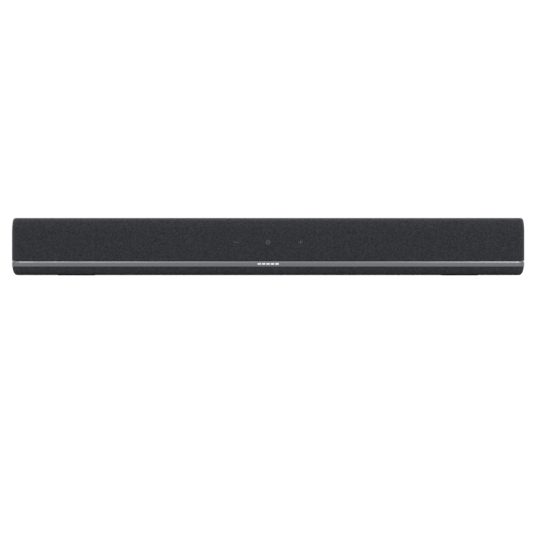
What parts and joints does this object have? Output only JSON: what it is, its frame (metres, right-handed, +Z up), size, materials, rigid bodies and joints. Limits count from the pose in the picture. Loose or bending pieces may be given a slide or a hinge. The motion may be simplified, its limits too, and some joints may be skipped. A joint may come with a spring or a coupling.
{
  "type": "soundbar",
  "caption": "Low, wide loudspeaker bar with a cloth-covered front, ends and top, a bright metal band above a cloth skirt, keys behind the cloth and a socket bay in the back.",
  "frame": {"origin": "on the table under the middle of the bar", "axes": "+X to the right as seen by a listener facing the front, +Y to the back panel, +Z up; the front is -Y"},
  "size_m": [0.65, 0.1, 0.073],
  "materials": {
    "cloth": "fine knitted cloth, dark graphite, faint cool speckle",
    "band_metal": "satin anodised extrusion, lengthwise brushing, bright bevel",
    "badge": "satin light grey inlay",
    "shell_plastic": "fine spark-eroded texture",
    "grille_plastic": "plain moulded",
    "bay_panel": "powder-coated sheet",
    "foot_rubber": "matt",
    "insert_brass": "turned",
    "socket_plastic": "moulded",
    "socket_steel": "plated",
    "circuit_board": "solder mask",
    "power_circuit_board": "bare laminate",
    "chip_plastic": "moulded",
    "capacitor_sleeve": "shrink sleeve",
    "heat_sink_metal": "extruded",
    "shield_steel": "tinned",
    "winding": "taped winding",
    "baffle_plastic": "moulded",
    "key_plastic": "moulded",
    "switch_body": "stamped",
    "light_pipe": "clear polished",
    "ir_lens": "dark red, polished",
    "foam": "open-cell foam",
    "gasket_rubber": "closed-cell sponge",
    "surround_rubber": "butyl roll",
    "magnet_ferrite": "ferrite between plated plates",
    "driver_frame_metal": "stamped and painted",
    "cone_paper": "pressed paper pulp",
    "dome_silk": "coated silk",
    "screw_steel": "zinc plated",
    "screw_black": "blacked steel",
    "cable_sleeve": "flat wire pair",
    "ribbon": "flat flexible cable"
  },
  "bodies": {
    "cabinet": {"fabric_cover": "cloth", "lower_fabric": "cloth", "grille_frame": "grille_plastic", "trim_band": "band_metal", "badge_marks": "badge", "base_tray": "shell_plastic", "cabinet_shell": "baffle_plastic", "rear_panel": "shell_plastic", "connector_bay": "shell_plastic", "rubber_feet": "foot_rubber", "mount_inserts": "insert_brass", "connector_panel": "bay_panel", "ac_inlet": "socket_plastic", "ac_inlet_pins": "socket_steel", "hdmi_socket": "socket_steel", "optical_socket": "socket_plastic", "usb_socket": "socket_steel", "aux_socket": "socket_plastic", "main_board": "circuit_board", "board_chips": "chip_plastic", "board_capacitors": "capacitor_sleeve", "heat_sink": "heat_sink_metal", "wireless_module": "shield_steel", "power_board": "power_circuit_board", "power_transformer": "winding", "power_capacitors": "capacitor_sleeve", "chamber_dividers": "baffle_plastic", "front_baffle": "baffle_plastic", "key_guide": "key_plastic", "key_board": "circuit_board", "key_switches": "switch_body", "status_light": "light_pipe", "ir_receiver": "ir_lens", "bass_port_left": "baffle_plastic", "bass_port_right": "baffle_plastic", "damping_foam": "foam", "driver_gaskets": "gasket_rubber", "woofer_surrounds": "surround_rubber", "woofer_magnets": "magnet_ferrite", "driver_screws": "screw_steel", "baffle_screws": "screw_steel", "housing_screws": "screw_black", "board_screws": "screw_steel", "speaker_cables": "cable_sleeve", "key_cable": "ribbon", "woofer_frame_1": "driver_frame_metal", "woofer_frame_2": "driver_frame_metal", "woofer_frame_3": "driver_frame_metal", "woofer_frame_4": "driver_frame_metal", "tweeter_frame_1": "driver_frame_metal", "tweeter_frame_2": "driver_frame_metal"},
    "minus_key": {"key_minus": "key_plastic"},
    "source_key": {"key_source": "key_plastic"},
    "plus_key": {"key_plus": "key_plastic"},
    "cone_1": {"woofer_cone_1": "cone_paper"},
    "cone_2": {"woofer_cone_2": "cone_paper"},
    "cone_3": {"woofer_cone_3": "cone_paper"},
    "cone_4": {"woofer_cone_4": "cone_paper"},
    "dome_1": {"tweeter_dome_1": "dome_silk"},
    "dome_2": {"tweeter_dome_2": "dome_silk"}
  },
  "joints": [
    {"name": "minus_key_press", "type": "slide", "parent": "cabinet", "child": "minus_key", "axis": [0, 1, 0], "range_m": [0, 0.0008], "stiffness_N_per_m": 2500, "springref_m": -0.0003},
    {"name": "source_key_press", "type": "slide", "parent": "cabinet", "child": "source_key", "axis": [0, 1, 0], "range_m": [0, 0.0008], "stiffness_N_per_m": 2500, "springref_m": -0.0003},
    {"name": "plus_key_press", "type": "slide", "parent": "cabinet", "child": "plus_key", "axis": [0, 1, 0], "range_m": [0, 0.0008], "stiffness_N_per_m": 2500, "springref_m": -0.0003},
    {"name": "cone_1_stroke", "type": "slide", "parent": "cabinet", "child": "cone_1", "axis": [0, 1, 0], "range_m": [-0.002, 0.002], "stiffness_N_per_m": 1500},
    {"name": "cone_2_stroke", "type": "slide", "parent": "cabinet", "child": "cone_2", "axis": [0, 1, 0], "range_m": [-0.002, 0.002], "stiffness_N_per_m": 1500},
    {"name": "cone_3_stroke", "type": "slide", "parent": "cabinet", "child": "cone_3", "axis": [0, 1, 0], "range_m": [-0.002, 0.002], "stiffness_N_per_m": 1500},
    {"name": "cone_4_stroke", "type": "slide", "parent": "cabinet", "child": "cone_4", "axis": [0, 1, 0], "range_m": [-0.002, 0.002], "stiffness_N_per_m": 1500},
    {"name": "dome_1_stroke", "type": "slide", "parent": "cabinet", "child": "dome_1", "axis": [0, 1, 0], "range_m": [-0.0003, 0.0003], "stiffness_N_per_m": 2000},
    {"name": "dome_2_stroke", "type": "slide", "parent": "cabinet", "child": "dome_2", "axis": [0, 1, 0], "range_m": [-0.0003, 0.0003], "stiffness_N_per_m": 2000}
  ]
}
